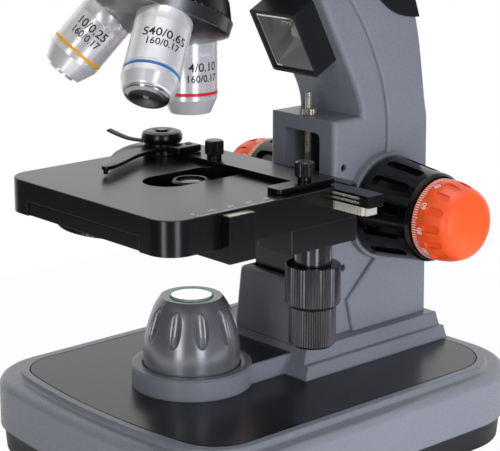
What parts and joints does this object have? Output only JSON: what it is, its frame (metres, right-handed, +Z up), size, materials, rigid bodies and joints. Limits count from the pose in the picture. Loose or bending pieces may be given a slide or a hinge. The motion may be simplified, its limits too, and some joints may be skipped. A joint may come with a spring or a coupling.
{
  "type": "microscope",
  "caption": "Upright compound microscope with a grey curved arm, black mechanical stage, revolving objectives, orange fine focus knobs, a base lamp and a small upper lamp.",
  "frame": {"origin": "on the bench under the middle of the whole object's box", "axes": "+Z up, -Y towards the user, +X to the user's right"},
  "size_m": [0.1707, 0.2358, 0.3631],
  "materials": {
    "casting_grey": "satin",
    "plate_black": "matte",
    "tray_black": "matte",
    "rubber_black": "matte",
    "stage_black": "satin",
    "knob_black": "satin",
    "knob_orange": "satin",
    "drive_black": "gloss",
    "steel": "satin",
    "rack_brass": "satin",
    "rack_white": "satin",
    "objective_chrome": "satin",
    "turret_silver": "satin",
    "lens_glass": "polished",
    "lens_white": "satin",
    "reflector_mirror": "polished",
    "led_yellow": "gloss"
  },
  "bodies": {
    "base": {"base_casing": "casting_grey", "base_plate": "plate_black", "base_tray": "tray_black", "feet": "rubber_black", "power_inlet": "tray_black", "arm_foot": "casting_grey", "neck_pad": "plate_black", "lamp_hood": "casting_grey", "lamp_lens": "lens_white", "arm": "casting_grey", "arm_grip": "tray_black", "guide_rods": "steel", "top_lamp_box": "tray_black", "top_lamp_reflector": "reflector_mirror", "top_lamp_led": "led_yellow", "turret_mount": "stage_black", "head_screw": "knob_black"},
    "dimmer": {"dimmer_wheel": "tray_black"},
    "coarse": {"coarse_shaft": "steel", "coarse_knob_right": "knob_black", "coarse_knob_left": "knob_black"},
    "fine": {"fine_shaft": "steel", "fine_knob_right": "knob_orange", "fine_knob_left": "knob_orange"},
    "stop_screw": {"stop_rod": "steel", "stop_nut": "steel"},
    "carriage": {"focus_carriage": "stage_black", "focus_rack": "rack_brass", "stage_lower": "stage_black", "condenser_ring": "stage_black", "condenser_lens": "lens_glass", "vernier_block": "stage_black", "disc_pivot": "steel", "y_rack": "rack_brass"},
    "diaphragm": {"diaphragm_disc": "stage_black"},
    "stage": {"stage_upper": "stage_black", "xy_housing": "stage_black", "knob_bush": "drive_black"},
    "y_drive": {"y_knob": "drive_black"},
    "x_drive": {"x_knob": "drive_black"},
    "cross_slide": {"x_bar": "stage_black", "x_rails": "steel", "x_rack": "rack_white", "slide_holder": "stage_black", "thumb_screws": "stage_black", "finger_pivot": "steel"},
    "finger": {"slide_finger": "stage_black"},
    "turret": {"turret_ring": "stage_black", "turret_dish": "turret_silver", "objective_low": "objective_chrome", "objective_middle": "objective_chrome", "objective_high": "objective_chrome"},
    "nose": {"objective_nose": "steel"},
    "head": {"head_body": "casting_grey", "eye_tube": "turret_silver"},
    "eyepiece": {"eyepiece": "drive_black", "eye_lens": "lens_glass", "eyecup": "rubber_black"}
  },
  "joints": [
    {"name": "focus_slide", "type": "slide", "parent": "base", "child": "carriage", "axis": [0, 0, 1], "range_m": [-0.012, 0.019]},
    {"name": "coarse_turn", "type": "hinge", "parent": "base", "child": "coarse", "pos_m": [0, 0.07319, 0.1102], "axis": [1, 0, 0], "range_deg": [-185, 120]},
    {"name": "fine_turn", "type": "hinge", "parent": "base", "child": "fine", "pos_m": [0, 0.07319, 0.1102], "axis": [1, 0, 0], "continuous": true},
    {"name": "stop_turn", "type": "hinge", "parent": "base", "child": "stop_screw", "pos_m": [0, 0.04419, 0.15], "axis": [0, 0, 1], "continuous": true},
    {"name": "dimmer_turn", "type": "hinge", "parent": "base", "child": "dimmer", "pos_m": [-0.0766, 0.03219, 0.025], "axis": [0, 0, 1], "range_deg": [0, 270]},
    {"name": "turret_turn", "type": "hinge", "parent": "base", "child": "turret", "pos_m": [0, -0.02781, 0.24796], "axis": [0, -0.4067, -0.9135], "continuous": true},
    {"name": "nose_spring", "type": "slide", "parent": "turret", "child": "nose", "axis": [-0.3522, 0.5574, 0.7518], "range_m": [0, 0.002], "stiffness_N_per_m": 400, "springref_m": -0.002},
    {"name": "head_turn", "type": "hinge", "parent": "base", "child": "head", "pos_m": [0, -0.02781, 0.252], "axis": [0, 0, 1], "continuous": true},
    {"name": "eyepiece_lift", "type": "slide", "parent": "head", "child": "eyepiece", "axis": [0, -0.7071, 0.7071], "range_m": [0, 0.02]},
    {"name": "disc_turn", "type": "hinge", "parent": "carriage", "child": "diaphragm", "pos_m": [-0.011, -0.04981, 0.119], "axis": [0, 0, 1], "continuous": true},
    {"name": "y_slide", "type": "slide", "parent": "carriage", "child": "stage", "axis": [0, 1, 0], "range_m": [-0.008, 0.008]},
    {"name": "y_turn", "type": "hinge", "parent": "stage", "child": "y_drive", "pos_m": [0.0475, 0.00189, 0.1], "axis": [0, 0, 1], "range_deg": [-145, 145]},
    {"name": "x_slide", "type": "slide", "parent": "stage", "child": "cross_slide", "axis": [1, 0, 0], "range_m": [-0.015, 0.015]},
    {"name": "x_turn", "type": "hinge", "parent": "stage", "child": "x_drive", "pos_m": [0.0475, 0.00189, 0.08], "axis": [0, 0, 1], "range_deg": [-270, 270]},
    {"name": "finger_turn", "type": "hinge", "parent": "cross_slide", "child": "finger", "pos_m": [-0.047, -0.00581, 0.14], "axis": [0, 0, -1], "range_deg": [0, 30], "stiffness_Nm_per_rad": 0.05, "springref_deg": -14.32}
  ],
  "couplings": [
    {"joint": "coarse_turn", "follows": "focus_slide", "rad_per_m": -166.67},
    {"joint": "y_turn", "follows": "y_slide", "rad_per_m": 307.69},
    {"joint": "x_turn", "follows": "x_slide", "rad_per_m": -307.69}
  ]
}
